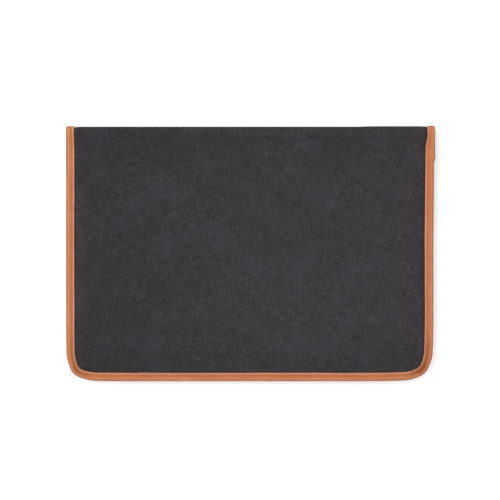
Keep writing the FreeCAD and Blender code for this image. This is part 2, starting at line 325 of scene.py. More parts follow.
def leather_material():
    """Smooth tan leather: painted shade on its rolled edge and in its stitched groove, painted
    highlights inside the edge and on the pale cut lip, pores and creases.
    """
    made = begin("leather")
    strap = vector_mark("strap")
    inset = times(components(strap)[1], 100.0)  # from the outer edge, in centimetres
    # Across the strip, in from the outer edge: painted shade on the rolled edge, then a painted
    # highlight band, then the plain tan
    tone = ramp(
        inset, (0.00, (0.225, 0.102, 0.049)), (0.09, (0.280, 0.120, 0.057)),
        (0.21, (0.470, 0.167, 0.068)), (0.34, (0.460, 0.146, 0.052)), (0.60, (0.460, 0.140, 0.050)),
    )
    # The pale cut lip: partly the paler cut edge, partly a painted highlight
    tone = mix(mark("lip"), tone, (0.660, 0.390, 0.280))
    # Painted shade in the stitched groove
    tone = mix(mark("groove", 0.45), tone, (0.430, 0.118, 0.034))
    # Darker at the lower corners, and painted shade where the strip turns over the fold's tip
    tone = mix(mark("burnish", 0.95), tone, (0.230, 0.050, 0.007))
    cloud = noise(stretched(strap, 60.0, 180.0, 180.0), 1.0, 3.0, 0.55)
    tone = mix(remap(cloud, 0.50, 0.75, 0.0, 0.32), tone, (0.58, 0.270, 0.140))
    tone = mix(remap(cloud, 0.48, 0.28, 0.0, 0.35), tone, (0.400, 0.125, 0.043))
    pits = remap(node("ShaderNodeTexVoronoi", Vector=strap, Scale=1900.0), 0.0, 0.24, 1.0, 0.0)
    tone = mix(times(pits, 0.22), tone, (0.24, 0.08, 0.03))
    grain = node("ShaderNodeTexVoronoi", {"feature": "DISTANCE_TO_EDGE"}, Vector=strap, Scale=1250.0)
    wrinkle = noise(stretched(strap, 900.0, 170.0, 170.0), 1.0, 3.0, 0.6)
    rough = remap(noise(strap, 420.0, 2.0), 0.3, 0.7, 0.46, 0.62)
    grained = bump(remap(grain, 0.0, 0.12), 0.035 * MM, bump(wrinkle, 0.10 * MM))
    return dressed(made, tone, rough, 0.28, bump(pits, -0.03 * MM, grained))


def lining_material():
    """Brushed grey felt: matted fibres and small pills."""
    made = begin("felt lining")
    place = vector_mark("cloth")
    fibre = noise(stretched(place, 900.0, 300.0, 300.0), 1.0, 5.0, 0.65)
    crossing = noise(stretched(place, 260.0, 1000.0, 300.0), 1.0, 5.0, 0.65)
    matted = calc("MULTIPLY_ADD", fibre, 0.5, times(crossing, 0.5))
    tone = ramp(
        matted, (0.30, (0.085, 0.083, 0.080)), (0.50, (0.165, 0.160, 0.153)),
        (0.72, (0.31, 0.30, 0.285)),
    )
    tone = mix(remap(noise(place, 32.0, 3.0), 0.4, 0.7, 0.0, 0.3), tone, (0.13, 0.128, 0.125))
    pills = bump(noise(place, 420.0, 2.0), 0.4 * MM)
    return dressed(made, tone, remap(matted, 0.3, 0.7, 1.0, 0.86), 0.1, bump(matted, 0.25 * MM, pills),
                   Sheen_Weight=0.25, Sheen_Roughness=0.5)


def foam_material():
    """Closed-cell foam: fine cells in a pale grey sheet."""
    made = begin("foam")
    place = vector_mark("cloth")
    cells = node("ShaderNodeTexVoronoi", Vector=place, Scale=900.0)
    tone = ramp(cells, (0.1, (0.36, 0.36, 0.37)), (0.6, (0.58, 0.58, 0.59)))
    tone = mix(remap(noise(place, 60.0, 3.0), 0.4, 0.7, 0.0, 0.2), tone, (0.5, 0.48, 0.44))
    return dressed(made, tone, remap(cells, 0.0, 0.8, 0.95, 0.8), 0.2, bump(cells, 0.2 * MM))


def thread_material():
    """Waxed tan thread, twisted."""
    made = begin("thread")
    place = vector_mark("twist")
    twist = node("ShaderNodeTexWave", {"wave_type": "BANDS", "bands_direction": "DIAGONAL"}, 1,
                 Vector=place, Scale=700.0, Distortion=1.2, Detail=1.0)
    tone = ramp(twist, (0.1, (0.30, 0.115, 0.045)), (0.8, (0.56, 0.27, 0.135)))
    tone = mix(remap(noise(place, 90.0, 2.0), 0.45, 0.7, 0.0, 0.4), tone, (0.36, 0.16, 0.075))
    # Darker at the lower corners
    tone = mix(mark("burnish", 0.8), tone, (0.270, 0.070, 0.018))
    return dressed(made, tone, remap(twist, 0.0, 1.0, 0.62, 0.48), 0.4, bump(twist, 0.06 * MM))


def hole_shade_material():
    """Painted shade of a needle hole: dark brown, a little uneven."""
    made = begin("needle hole")
    wear_and_hole_shade = noise(vector_mark("twist"), 1800.0, 3.0)
    tone = ramp(wear_and_hole_shade, (0.3, (0.150, 0.046, 0.014)), (0.7, (0.240, 0.074, 0.024)))
    return dressed(made, tone, remap(wear_and_hole_shade, 0.2, 0.8, 0.7, 0.9), 0.2, bump(wear_and_hole_shade, 0.05 * MM))


def magnet_material():
    """Nickel-plated disc, turned, with fine scratches."""
    made = begin("nickel plating")
    place = node("ShaderNodeTexCoord", None, "Object")
    scratches = noise(stretched(place, 250.0, 6000.0, 250.0), 1.0, 3.0, 0.6)
    tone = ramp(scratches, (0.3, (0.52, 0.50, 0.47)), (0.7, (0.66, 0.65, 0.62)))
    return dressed(made, tone, remap(scratches, 0.3, 0.7, 0.22, 0.42), None, bump(scratches, 0.01 * MM),
                   Metallic=1.0)


def floor_material():
    made = begin("studio floor")
    paper = noise(node("ShaderNodeTexCoord", None, "Object"), 40.0, 3.0)
    tone = ramp(paper, (0.3, (0.90, 0.90, 0.90)), (0.7, (0.92, 0.92, 0.92)))
    return dressed(made, tone, remap(paper, 0.3, 0.7, 0.85, 0.95), 0.1,
                   Emission_Color=(1.0, 1.0, 1.0), Emission_Strength=0.16)


CANVAS_LOOK = canvas_material()
LEATHER_LOOK = leather_material()
LINING_LOOK = lining_material()
FOAM_LOOK = foam_material()
THREAD_LOOK = thread_material()
HOLE_SHADE_LOOK = hole_shade_material()
MAGNET_LOOK = magnet_material()


# ======== mesh helpers
def hand_worked(points):
    """Points moved with the uneven outline. The middle of a panel stays where it is."""
    out = points.copy()
    x, y = points[:, 0], points[:, 1]
    centre_x, centre_y = HALF_W - CORNER_R, BOTTOM_Y + CORNER_R
    for side in (-1, 1):
        across, down = side * x - centre_x, centre_y - y
        turn = np.arctan2(np.maximum(down, 0), np.maximum(across, 1e-9))
        inset = CORNER_R - np.hypot(np.maximum(across, 0), np.maximum(down, 0))
        near = smooth((UNWORKED - inset) / (UNWORKED - WORKED)) * (side * x > 0)
        along = CORNER_R * (turn - math.pi / 4) - np.maximum(-down, 0) + np.maximum(-across, 0)
        dip = CORNER_DIP[side] * np.exp(-(along / DIP_REACH) ** 2)
        stand = CORNER_BULGE[side] * np.exp(-(along / BULGE_REACH) ** 2) - dip
        out[:, 0] += side * stand * near * np.cos(turn)
        out[:, 1] -= stand * near * np.sin(turn)
    edge = smooth((x - HALF_W + UNWORKED) / (UNWORKED - WORKED))
    out[:, 0] += RIGHT_LEAN * edge * smooth((y - 15 * MM) / (65 * MM))
    out[:, 1] += TIP_RISE * smooth((x - 100 * MM) / (15 * MM)) * smooth((y - TURN_Y) / (10 * MM))
    return out


def placed(name, data):
    """A new object in the scene."""
    made = bpy.data.objects.new(name, data)
    bpy.context.scene.collection.objects.link(made)
    return made


def piece(name, points, faces, looks, marks, sharp_degrees=50, face_looks=None):
    """A closed mesh object. marks are its named attributes: a value or a vector for each point."""
    mesh = bpy.data.meshes.new(name)
    mesh.from_pydata(hand_worked(points).tolist(), [], [list(map(int, face)) for face in faces])
    for look in looks:
        mesh.materials.append(look)
    if face_looks is not None:
        mesh.polygons.foreach_set("material_index", np.asarray(face_looks, np.int32))
    for key, values in marks.items():
        values = np.asarray(values, np.float32)
        kind, field = ("FLOAT", "value") if values.ndim == 1 else ("FLOAT_VECTOR", "vector")
        mesh.attributes.new(key, kind, "POINT").data.foreach_set(field, values.ravel())
    work = bmesh.new()
    work.from_mesh(mesh)
    bmesh.ops.recalc_face_normals(work, faces=work.faces)
    work.to_mesh(mesh)
    work.free()
    mesh.polygons.foreach_set("use_smooth", [True] * len(mesh.polygons))
    mesh.set_sharp_from_angle(angle=math.radians(sharp_degrees))
    return placed(name, mesh)


def grid_normals(points):
    """Unit normals of a grid, each the mean of the faces round it. At the fold's tip they lie flat."""
    faces = np.cross(points[1:, 1:] - points[:-1, :-1], points[1:, :-1] - points[:-1, 1:])
    out = np.zeros(points.shape)
    for rows in (slice(None, -1), slice(1, None)):
        for columns in (slice(None, -1), slice(1, None)):
            out[rows, columns] += faces
    at_tip = points[..., 1] > TIP_Y - LEATHER
    at_tip[:-1] = False
    out[at_tip] = out[at_tip] * (0.0, 1.0, 0.0)
    return out / np.maximum(np.linalg.norm(out, axis=2, keepdims=True), 1e-12)


def grid_faces(index):
    return np.stack((index[:-1, :-1], index[:-1, 1:], index[1:, 1:], index[1:, :-1]), -1).reshape(-1, 4)


def between(name, outer, inner, look, marks):
    """A closed piece between two grids of points of the same size."""
    rows, columns = outer.shape[:2]
    count = rows * columns
    index = np.arange(count).reshape(rows, columns)
    rim = np.concatenate((index[0, :-1], index[:-1, -1], index[-1, :0:-1], index[:0:-1, 0]))
    ahead = np.roll(rim, -1)
    walls = np.stack((rim, ahead, ahead + count, rim + count), -1)
    faces = np.concatenate((grid_faces(index), grid_faces(index + count)[:, ::-1], walls))
    points = np.concatenate((outer.reshape(-1, 3), inner.reshape(-1, 3)))
    doubled = {}
    for key, values in marks.items():
        flat = values.reshape(count, -1)
        doubled[key] = np.concatenate((flat, flat)) if flat.shape[1] == 3 else np.tile(flat[:, 0], 2)
    return piece(name, points, faces, [look], doubled)


def cloth_coordinates(points):
    """Place of each point on the flat cloth: x, and the distance along the cloth from the first row."""
    steps = np.linalg.norm(np.diff(points, axis=0), axis=2)
    middle = steps[:, steps.shape[1] // 2]
    run = np.concatenate(([0.0], np.cumsum(middle))) + points[0, points.shape[1] // 2, 1]
    flat = points.copy()
    flat[..., 1] = np.where(points[..., 1] < TURN_Y - 1e-6, points[..., 1], run[:, None])
    flat[..., 2] = 0.0
    return flat


# ======== plan of a panel
def ring_offsets(slope):
    """Distance of each ring from the foot of the padding, and its share of the full depth."""
    turns = np.linspace(0, math.pi / 2, SHOULDER_STEPS + 1)
    offsets = np.concatenate((FLANGE, slope * (1 - np.cos(turns))))
    shares = np.concatenate((np.zeros(len(FLANGE)), np.sin(turns)))
    return offsets, shares


RINGS = len(FLANGE) + SHOULDER_STEPS + 1
CORNER_ROWS = 5  # plain rows that the bend of the outer rings reaches into
FOOT = len(FLANGE)  # index of the ring at the foot of the padding
COLUMNS_INSIDE = int(2 * (HALF_W - 20 * MM) / GRID)


def column_shares(slope):
    """For each column: its offset from its side's foot, its share of the full depth, and its place
    from the left side's rings, 0, to the right side's, 1."""
    offsets, shares = ring_offsets(slope)
    inside = np.linspace(0, 1, COLUMNS_INSIDE + 2)[1:-1]
    blank = np.full(COLUMNS_INSIDE, slope)
    offset = np.concatenate((offsets, blank, offsets[::-1]))
    depth = np.concatenate((shares, np.ones(COLUMNS_INSIDE), shares[::-1]))
    place = np.concatenate((np.zeros(RINGS), inside, np.ones(RINGS)))
    return offset, depth, place


def row_x(left_foot, right_foot, slope):
    """x of every column in a row whose padding starts at left_foot and right_foot."""
    offset, _, place = column_shares(slope)
    left_x = -left_foot + np.where(place < 0.5, offset, slope)
    right_x = right_foot - np.where(place > 0.5, offset, slope)
    return left_x * (1 - place) + right_x * place


def corner_lines(side_x, low_y, radius, reach_x, reach_y, share):
    """Points of a ring's corner, drawn as a left one: from the arc's middle up the side, and from it
    along the bottom."""
    arc = math.pi / 4 * radius
    lines = []
    for rise, reach in ((-1, reach_y - (low_y + radius)), (1, reach_x - (side_x + radius))):
        length = share * (arc + max(reach, 0))
        straight = length > arc
        turn = math.pi / 4 + rise * length / radius
        x = side_x + radius * (1 - np.cos(turn))
        y = low_y + radius * (1 - np.sin(turn))
        if rise < 0:
            x, y = np.where(straight, side_x, x), np.where(straight, low_y + radius + length - arc, y)
        else:
            x, y = np.where(straight, side_x + radius + length - arc, x), np.where(straight, low_y, y)
        lines.append((x, y))
    return lines


def plan_grid(feet_at, low_y, strip_width, top_y, slope, pinch):
    """A panel's grid, up to top_y: x, y, share of the full depth, and ring. Its outer rings follow the
    seam down one side, round the two lower corners and up the other. feet_at gives the left and right
    feet at a y."""
    offsets, shares = ring_offsets(slope)
    low_offsets = np.where(offsets > 0, offsets * pinch, offsets)
    foot_low = strip_width + LIP_GAP
    shoulder_end = low_y + strip_width + LIP_GAP + slope * pinch
    count = max(int(round((top_y - shoulder_end) / GRID)), 2)
    middle = np.linspace(shoulder_end, top_y, count + 1)[1:]
    ys = np.concatenate((low_y + foot_low + low_offsets, middle))
    x = row_x(*feet_at(ys[:, None]), slope)
    y = np.repeat(ys[:, None], x.shape[1], 1)
    reach = RINGS + CORNER_ROWS
    last = x.shape[1] - 1
    left_foot, right_foot = feet_at(low_y)
    middle_row = x[reach].copy()
    for ring in range(RINGS):
        inset = HALF_W - left_foot + offsets[ring]
        ring_radius = max(CORNER_R - (inset + foot_low + low_offsets[ring]) / 2, 4 * MM)
        bottom = low_y + foot_low + low_offsets[ring]
        steps = np.arange(ring, reach + 1)
        share = (steps - ring) / (reach - ring)
        for side, foot in ((-1, left_foot), (1, right_foot)):
            reach_x = middle_row[reach] if side < 0 else -middle_row[last - reach]
            lines = corner_lines(-foot + offsets[ring], bottom, ring_radius, reach_x, ys[reach], share)
            for at, row, column in zip(lines, (steps, ring), (ring, steps)):
                column = column if side < 0 else last - column
                x[row, column], y[row, column] = -side * at[0], at[1]
    columns = np.arange(last + 1)
    rings = np.minimum(np.minimum(columns, columns[::-1])[None, :], np.arange(len(ys))[:, None])
    table = np.concatenate((shares, np.ones(rings.max() + 1 - RINGS)))
    return x, y, table[rings], rings


# ======== side edges of the strips
def upper_edge(side, y):
    """Outer edge of the strip above the mouth: it steps out, with a slight bump where it starts."""
    start = smooth((y - (MOUTH_Y - UPPER_OVERLAP)) / (3.5 * MM))
    bump_out = 0.25 * np.exp(-((y - MOUTH_Y - 2.5 * MM) / (2 * MM)) ** 2)
    flare = TIP_FLARE[side] * smooth((y - (TIP_Y - 14 * MM)) / (14 * MM))
    return HALF_W + PROUD[side] * (0.25 + 0.75 * start + bump_out) + flare


def upper_lip(side, y):
    rise = np.clip((y - MOUTH_Y) / (TIP_Y - MOUTH_Y), 0, 1)
    return UPPER_LIP[side] + LIP_LEAN[side] * rise + LIP_FLARE[side] * smooth((rise - 0.40) / 0.38)


def towards_tip(plain, at_tip, y):
    """The flap's plain value, which becomes the back's at the fold's tip."""
    before = 8 * MM
    return plain + (at_tip - plain) * smooth((y - (TURN_Y - before)) / (TIP_Y - TURN_Y + before))


def flap_edge(side, y):
    return towards_tip(FLAP_HALF_W, upper_edge(side, TIP_Y), y)


def flap_lip(side, y):
    return towards_tip(FLAP_HALF_W - FLAP_W, upper_lip(side, TIP_Y), y)


def back_feet(y):
    """Left and right foot of the back's padding, just inside the strips' lips."""
    share = smooth((y - (MOUTH_Y - 12 * MM)) / (14 * MM))
    feet = []
    for side, width in ((-1, LEFT_W), (1, RIGHT_W)):
        lip = HALF_W - width
        feet.append(lip + (upper_lip(side, y) - lip) * share - LIP_GAP)
    return feet


def flap_feet(y):
    return [flap_lip(side, y) - LIP_GAP for side in (-1, 1)]


# ======== the fold
_, COLUMN_DEPTH, _ = column_shares(BACK_SLOPE)
FOLD_TOP_Z = SEAM_Z + SEAM_PLIES + (BACK_Z - SEAM_Z - SEAM_PLIES) * COLUMN_DEPTH
FOLD_BOTTOM_Z = FLAP_CANVAS_Z - FLAP_PUFF * COLUMN_DEPTH
FOLD_COVER = 0.25 * LEATHER * (1 - COLUMN_DEPTH) ** 2


def fold_rows(feet_at, upper):
    """The rows of the fold from the turn to its tip, on the back's side or on the flap's."""
    radius = (FOLD_TOP_Z - FOLD_BOTTOM_Z) / 2
    centre_y = TIP_Y - FOLD_COVER - radius
    centre_z = (FOLD_TOP_Z + FOLD_BOTTOM_Z) / 2
    straight = centre_y - TURN_Y
    length = np.array(ROLL_SHARES)[:, None] * (straight + math.pi / 2 * radius)
    turn = np.clip((length - straight) / radius, 0, math.pi / 2)
    y = np.where(length < straight, TURN_Y + length, centre_y + radius * np.sin(turn))
    rise = radius * np.cos(turn)
    z = centre_z + rise if upper else centre_z - rise
    return np.stack((row_x(*feet_at(y), BACK_SLOPE), y, z), -1)


def back_surface():
    """Outer face of the back canvas, from the bottom seam to the turn, then on to the fold's tip."""
    x, y, depth, ring = plan_grid(back_feet, BOTTOM_Y, BOTTOM_W, TURN_Y, BACK_SLOPE, PINCH)
    z = SEAM_Z + SEAM_PLIES + (BACK_Z - SEAM_Z - SEAM_PLIES) * depth
    return np.stack((x, y, z), -1), depth, ring, fold_rows(back_feet, True)


def flap_surface():
    """Outer face of the flap canvas, which faces down, from the flap's edge on to the fold's tip."""
    x, y, depth, ring = plan_grid(flap_feet, FLAP_LOW_Y, FLAP_W, TURN_Y, BACK_SLOPE, 1.0)
    z = FLAP_CANVAS_Z - FLAP_PUFF * depth
    return np.stack((x, y, z), -1), depth, ring, fold_rows(flap_feet, False)


def front_surface():
    """Outer face of the front canvas, which faces down, up to the mouth."""
    x, y, depth, ring = plan_grid(back_feet, BOTTOM_Y, BOTTOM_W, MOUTH_Y - HEM_TURN, FRONT_SLOPE, PINCH)
    belly = smooth((BELLY_TOP_Y - y) / BELLY_RUN)
    full = SEAM_Z - FRONT_Z - SEAM_PLIES + (FRONT_Z - front_low.z) * belly
    return np.stack((x, y, SEAM_Z - SEAM_PLIES - full * depth), -1), depth, ring


# ======== cloth simulation
def settled(points, depth, held_above, push, swell_cap, cap):
    """Displacement of a panel's points when its cloth, cut slightly too large, settles between its
    seams and the line held_above, with the padding's push behind it."""
    rows, columns = points.shape[:2]
    mesh = bpy.data.meshes.new("settling")
    index = np.arange(rows * columns).reshape(rows, columns)
    mesh.from_pydata(points.reshape(-1, 3).tolist(), [], grid_faces(index).tolist())
    cloth = placed("settling", mesh)
    held = cloth.vertex_groups.new(name="held")
    still = (depth < HELD_DEPTH) | (points[..., 1] > held_above)
    held.add(index[still].tolist(), 1.0, "REPLACE")
    sim = cloth.modifiers.new("settling", "CLOTH")
    for key, value in CLOTH.items():
        setattr(sim.settings, key, value)
    sim.settings.uniform_pressure_force = push
    sim.settings.effector_weights.gravity = 0
    sim.collision_settings.use_collision = False
    sim.point_cache.frame_start = 1
    sim.point_cache.frame_end = CLOTH_FRAMES
    scene = bpy.context.scene
    for step in range(1, CLOTH_FRAMES + 1):
        scene.frame_set(step)
    result = cloth.evaluated_get(bpy.context.evaluated_depsgraph_get())
    moved = np.zeros(rows * columns * 3)
    result.data.vertices.foreach_get("co", moved)
    scene.frame_set(1)
    bpy.data.objects.remove(cloth)
    shift = blurred(moved.reshape(points.shape) - points, SMOOTHING)
    swell = blurred(shift, SWELL_SMOOTHING)
    return capped(swell, swell_cap) + capped(shift - swell, cap)


def blurred(values, passes):
    """Values smoothed over the grid, with its border left alone."""
    out = values.copy()
    for _ in range(passes):
        nearby = out[:-2, 1:-1] + out[2:, 1:-1] + out[1:-1, :-2] + out[1:-1, 2:]
        out[1:-1, 1:-1] = 0.5 * out[1:-1, 1:-1] + 0.125 * nearby
    return out


def capped(shift, cap):
    size = np.linalg.norm(shift, axis=2, keepdims=True)
    return shift * (np.tanh(size / cap) * cap / np.maximum(size, 1e-9))


# ======== leather strips
def u_line(half_width, low_y, high_y):
    """Points, inward directions and bottom shares down the left side, round and up the right side."""
    radius = CORNER_R
    straight = high_y - low_y - radius
    arc = math.pi / 2 * radius
    total = 2 * straight + 2 * arc + 2 * (half_width - radius)
    count = int(round(total / STATION))
    run = total * np.arange(count + 1) / count
    mirrored = run > total / 2
    reach = np.where(mirrored, total - run, run)
    turn = (reach - straight) / radius
    nx, ny = np.cos(turn), np.sin(turn)
    across = -half_width + radius
    stretch = [reach < straight, reach < straight + arc]
    x = np.select(stretch, (-half_width, across - radius * nx), across + (reach - straight - arc))
    y = np.select(stretch, (high_y - reach, low_y + radius - radius * ny), low_y)
    nx, ny = np.select(stretch, (1.0, nx), 0.0), np.select(stretch, (0.0, ny), 1.0)
    flip = np.where(mirrored, -1.0, 1.0)
    low_share = np.select(stretch, (0.0, smooth(turn / (math.pi / 2))), 1.0)
    return np.column_stack((x * flip, y)), np.column_stack((nx * flip, ny)), low_share, run


def seam(run, **parts):
    """A seam: its stations at distances run along it. A value given once holds all along."""
    made = {"run": run, "nose": NOSE, "burnish": 0.0, **parts}
    shapes = {key: (len(run), 3) if key in ("origin", "inward", "up") else len(run) for key in made}
    return {key: np.array(np.broadcast_to(value, shapes[key])) for key, value in made.items()}


def joined(seams):
    """Several stretches of seam as one, without their repeated ends."""
    starts = np.cumsum([0.0] + [part["run"][-1] for part in seams])
    seams = [{**part, "run": part["run"] + start} for part, start in zip(seams, starts)]
    out = {}
    for key in seams[0]:
        out[key] = np.concatenate([part[key][min(n, 1):] for n, part in enumerate(seams)])
    return out


def backwards(part):
    made = {key: value[::-1].copy() for key, value in part.items()}
    made["run"] = part["run"][-1] - made["run"]
    return made


def waver(run, seed):
    """Slow unevenness of hand-guided work, between -1 and 1."""
    waves = ((0.021, 1.0, 0.4), (0.0077, 2.1, 0.3), (0.052, 4.7, 0.3))
    return sum(np.sin(run / length + shift * seed) * share for length, shift, share in waves)


# Cut edge of the strip, from its slot up: back from the lip, and share of the skin's thickness
LIP_CURVE = ((0.25 * MM, 0.0), (0.03 * MM, 0.2), (0.0, 0.5), (0.10 * MM, 0.8), (0.32 * MM, 0.97))
GROOVE_OFFSETS = (0.9, 0.65, 0.42, 0.2, 0.0, -0.2, -0.42, -0.65, -0.9)  # in mm
GROOVE_SPREAD = 0.62 * MM
GROOVE_DEPTH = 0.20 * MM  # at the middle of a stitch
GROOVE_PULL = 0.16 * MM  # and so much more at its ends
PUFF = 0.16 * MM  # rise of the leather outside the row
LIP_PUFF = 0.12 * MM  # and inside it
WIDTH_WAVER = 0.12 * MM
THICK_WAVER = 0.06 * MM
NOSE_DEGREES = (78, 62, 46, 30, 15)


def strip_section(part):
    """Section of the leather at every station: distance in from the outer edge, and height."""
    nose = part["nose"]
    width = part["width"] + WIDTH_WAVER * waver(part["run"], 1.3)
    half = part["half"] + THICK_WAVER * waver(part["run"], 3.9)
    row, ply = part["row"], part["ply"]
    skin = half - ply
    pull = 0.5 + 0.5 * np.cos(2 * math.pi * part["run"] / PITCH)

    def top(inset):
        dip = (GROOVE_DEPTH + GROOVE_PULL * pull) * np.exp(-((inset - row) / GROOVE_SPREAD) ** 2)
        puff = PUFF * np.sin(math.pi * np.clip((inset - nose) / (row - nose), 0, 1))
        lip = LIP_PUFF * np.sin(math.pi * np.clip((inset - row) / (width - row), 0, 1))
        return half - dip + puff + lip

    upper = [(width - short, ply + share * skin) for short, share in LIP_CURVE]
    groove = [row + offset * MM for offset in GROOVE_OFFSETS]
    lip_end, near, far = width - LIP_CURVE[-1][0], groove[0], groove[-1]
    across = [near + share * (lip_end - near) for share in (0.75, 0.5, 0.25)] + groove
    across += [nose + share * (far - nose) for share in (0.8, 0.55, 0.3, 0.1)]
    upper += [(inset, top(inset)) for inset in across]
    upper += [(nose * (1 - np.cos(turn)), half * np.sin(turn)) for turn in np.radians(NOSE_DEGREES)]
    ring = upper + [(0.0, 0.0)] + [(inset, -height) for inset, height in reversed(upper)]
    ring += [(LEATHER, -ply), (LEATHER, ply)]
    shape = half.shape
    return [np.stack([np.broadcast_to(point[axis], shape) for point in ring], 1) for axis in (0, 1)]


def on_seam(at, inset, height):
    """Points at distances in from the seam and up from it. Stations run along the last axis."""
    return at["origin"] + inset[..., None] * at["inward"] + height[..., None] * at["up"]


def strip(name, part):
    """A leather strip folded over an edge, swept along its seam."""
    insets, heights = strip_section(part)
    points = on_seam(part, insets.T, heights.T).swapaxes(0, 1)
    index = np.arange(insets.size).reshape(insets.shape)
    faces = grid_faces(np.concatenate((index, index[:, :1]), 1)).tolist()
    faces += cap_faces(index[0], False) + cap_faces(index[-1], True)
    width, row = part["width"][:, None], part["row"][:, None]
    run = np.broadcast_to(part["run"][:, None], insets.shape)
    # Painted shade along the stitched groove: a narrow band round the row of stitches
    groove = np.exp(-((insets - row) / (0.75 * MM)) ** 2)
    hollow = np.exp(-((insets - row + 0.5 * MM) / (2.3 * MM)) ** 2)
    # Darker at the lower corners, over the groove and a band beside it
    burnish = part["burnish"][:, None] * np.maximum(groove, 0.85 * hollow)
    # Painted shade where the strip turns over the fold's tip and faces away from the light
    painted_tip_shade = 0.85 * smooth((points[..., 1] - TIP_Y + 1.2 * MM) / (1.5 * MM))
    marks = {
        "strap": np.stack((run, insets, heights), -1).reshape(-1, 3),
        "groove": groove.ravel(),
        # the pale cut lip, partly a painted highlight
        "lip": np.exp(-((width - insets) / (0.95 * MM)) ** 2).ravel(),
        "burnish": np.maximum(burnish, painted_tip_shade).ravel(),
    }
    return piece(name, points.reshape(-1, 3), faces, [LEATHER_LOOK], marks, 55)


def cap_faces(ring, turned):
    """The cut end of a strip: quads between its skin's outside and its slot."""
    *skin, slot_low, slot_high = ring
    nose = len(skin) // 2
    faces = []
    for n in range(nose):
        faces += [[skin[n], skin[n + 1], slot_high], [skin[-1 - n], slot_low, skin[-2 - n]]]
    faces.append([skin[nose], slot_low, slot_high])
    return [face[::-1] for face in faces] if turned else faces


def sample(part, s):
    """The seam's frame at distances s along it."""
    out = {}
    for key, value in part.items():
        columns = [np.interp(s, part["run"], column) for column in np.atleast_2d(value.T)]
        out[key] = np.stack(columns, -1) if value.ndim == 2 else columns[0]
    for key in ("inward", "up"):
        out[key] /= np.linalg.norm(out[key], axis=1, keepdims=True)
    return out


STITCH_STEPS = 7
STITCH_SIDES = 6
HOLE_SIDES = 8
STITCH_START, STITCH_SPAN = 0.07, 0.86  # in pitches
THREAD_SINK = 0.14 * MM  # of a stitch's middle, below the leather's face
THREAD_DIVE = 0.30 * MM  # and of its ends, below its middle
THREAD_LEAN = 0.10 * MM
THREAD_STRAY = 0.05 * MM
HOLE_SINK = 0.31 * MM
HOLE_ALONG, HOLE_ACROSS = 0.40 * MM, 0.34 * MM
HOLE_RIM, HOLE_DEPTH = 0.05 * MM, 0.35 * MM


def around(sides):
    return 2 * math.pi * np.arange(sides) / sides


def stitch(part, face, number):
    """One stitch, which dives at both ends: points, faces, place along the thread, and darkening at the
    corners.
    """
    shares = np.linspace(0.0, 1.0, STITCH_STEPS)
    reach = PITCH * (number + STITCH_START + STITCH_SPAN * shares)
    at = sample(part, reach)
    arch = np.sin(math.pi * shares)
    lean = THREAD_LEAN * (1 - 2 * shares) * face + THREAD_STRAY * math.sin(number * 2.3)
    height = at["half"] - THREAD_SINK - THREAD_DIVE * (1 - arch) ** 2
    thick = THREAD_R * (0.62 + 0.38 * arch)
    turn = around(STITCH_SIDES)[:, None]
    inset = at["row"] + lean + thick * np.cos(turn)
    points = on_seam(at, inset, (height + 0.85 * thick * np.sin(turn)) * face)
    index = np.arange(turn.size * STITCH_STEPS).reshape(turn.size, STITCH_STEPS)
    faces = grid_faces(np.concatenate((index, index[:1]))).tolist()
    faces += [index[:, 0].tolist(), index[::-1, -1].tolist()]
    twist = np.stack(np.broadcast_arrays(reach, thick.max() * turn, 0.0), -1)
    return points.reshape(-1, 3), faces, twist.reshape(-1, 3), np.tile(at["burnish"], turn.size)


def hole(part, face, number):
    """One needle hole, a flat double cone that carries the hole's painted shade: points, faces, place,
    and darkening at the corners.
    """
    at = sample(part, np.array([min(number * PITCH, part["run"][-1])]))
    sine, cosine = (np.append(wave(around(HOLE_SIDES)), (0, 0)) for wave in (np.sin, np.cos))
    height = at["half"] - HOLE_SINK + np.append(np.zeros(HOLE_SIDES), (HOLE_RIM, -HOLE_DEPTH))
    points = on_seam(at, at["row"] + HOLE_ACROSS * sine, height * face)
    points = points + HOLE_ALONG * cosine[:, None] * np.cross(at["up"], at["inward"])
    faces = []
    for side in range(HOLE_SIDES):
        ahead = (side + 1) % HOLE_SIDES
        faces += [[side, ahead, HOLE_SIDES], [ahead, side, HOLE_SIDES + 1]]
    return points, faces, points, np.tile(at["burnish"], HOLE_SIDES + 2)


def stitches(name, *rows):
    """The stitches and needle holes along seams. rows are (seam, face)."""
    made, looks = [], []
    for part, face in rows:
        count = int(part["run"][-1] / PITCH)
        for look, (build, number) in enumerate(((stitch, count), (hole, count + 1))):
            made += [build(part, face, at) for at in range(number)]
            looks += [look] * sum(len(faces) for _, faces, _, _ in made[-number:])
    points, faces, twist, burnish = zip(*made)
    starts = np.cumsum([0] + [len(block) for block in points])
    faces = [
        [start + corner for corner in face] for start, block in zip(starts, faces) for face in block
    ]
    marks = {"twist": np.concatenate(twist), "burnish": np.concatenate(burnish)}
    return piece(name, np.concatenate(points), faces, [THREAD_LOOK, HOLE_SHADE_LOOK], marks, 80, looks)


def level(points, z):
    return np.column_stack((points, np.full(len(points), z)))


